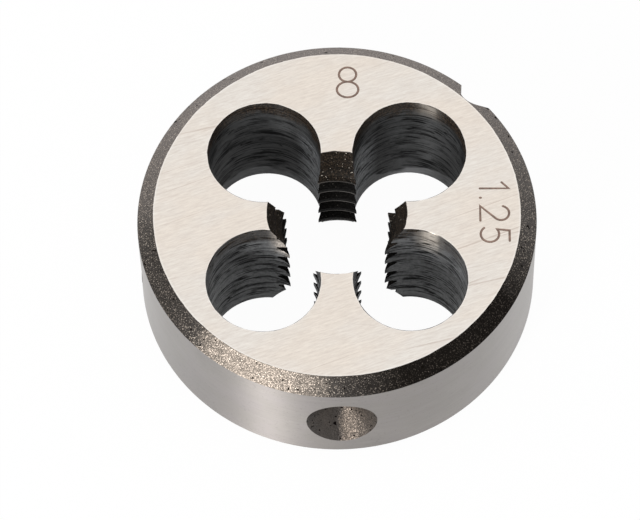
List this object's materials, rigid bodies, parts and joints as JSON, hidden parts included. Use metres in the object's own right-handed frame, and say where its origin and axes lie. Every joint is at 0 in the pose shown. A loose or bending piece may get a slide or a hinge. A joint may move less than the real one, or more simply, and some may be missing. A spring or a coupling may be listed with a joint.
{
  "type": "round threading die",
  "caption": "Round one-piece steel die for cutting outside threads, with threaded lands, chip clearance holes, an adjusting notch and screw dimples.",
  "frame": {"origin": "centre of the unmarked seat face, on the thread axis", "axes": "+Z along the thread axis, out of the marked face; +X through a threaded land; the adjusting notch is between +X and +Y"},
  "size_m": [0.025, 0.025, 0.009],
  "materials": {
    "tool_steel": "ground on the faces and wall, dark and rough on the bevels, holes and threads"
  },
  "bodies": {
    "root": {"threading_die": "tool_steel"}
  },
  "joints": []
}
